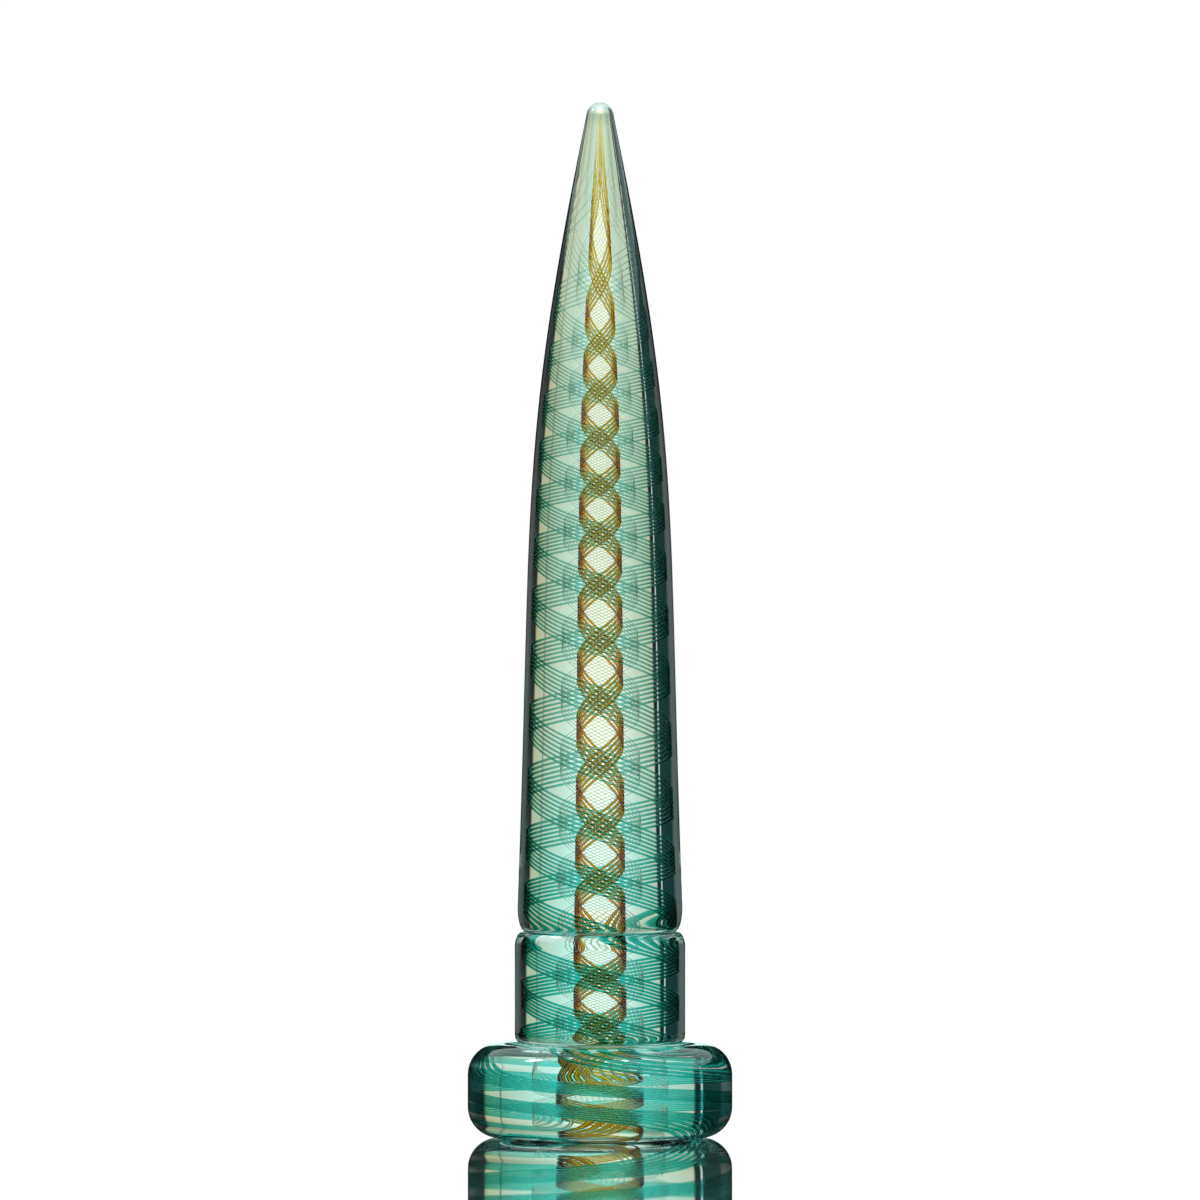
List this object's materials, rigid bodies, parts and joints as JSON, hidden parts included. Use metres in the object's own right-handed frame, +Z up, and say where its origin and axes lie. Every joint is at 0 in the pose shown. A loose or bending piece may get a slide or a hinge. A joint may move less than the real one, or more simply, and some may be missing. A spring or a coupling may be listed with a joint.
{
  "type": "glass dip pen",
  "caption": "Pointed filigree glass pen standing on a rounded foot, with twisted amber, white and teal threads cased in clear glass.",
  "frame": {"origin": "centre of the foot's flat underside", "axes": "+Z up along the pen's axis from the foot to the tip; -Y is the side that faces the camera in the picture"},
  "size_m": [0.0308, 0.0308, 0.12],
  "materials": {
    "clear_glass": "polished",
    "amber_glass": "polished",
    "opal_glass": "polished",
    "teal_glass": "polished"
  },
  "bodies": {
    "root": {"core_rod": "clear_glass", "inner_casing": "clear_glass", "middle_casing": "clear_glass", "spike_casing": "clear_glass", "collar_casing": "clear_glass", "foot_casing": "clear_glass", "amber_thread_a1": "amber_glass", "amber_thread_a2": "amber_glass", "amber_thread_a3": "amber_glass", "amber_thread_a4": "amber_glass", "amber_thread_a5": "amber_glass", "amber_thread_b1": "amber_glass", "amber_thread_b2": "amber_glass", "amber_thread_b3": "amber_glass", "amber_thread_b4": "amber_glass", "amber_thread_b5": "amber_glass", "white_thread_a1": "opal_glass", "white_thread_a2": "opal_glass", "white_thread_b1": "opal_glass", "white_thread_b2": "opal_glass", "teal_thread_a1": "teal_glass", "teal_thread_a2": "teal_glass", "teal_thread_a3": "teal_glass", "teal_thread_a4": "teal_glass", "teal_thread_b1": "teal_glass", "teal_thread_b2": "teal_glass", "teal_thread_b3": "teal_glass", "teal_thread_b4": "teal_glass"}
  },
  "joints": []
}
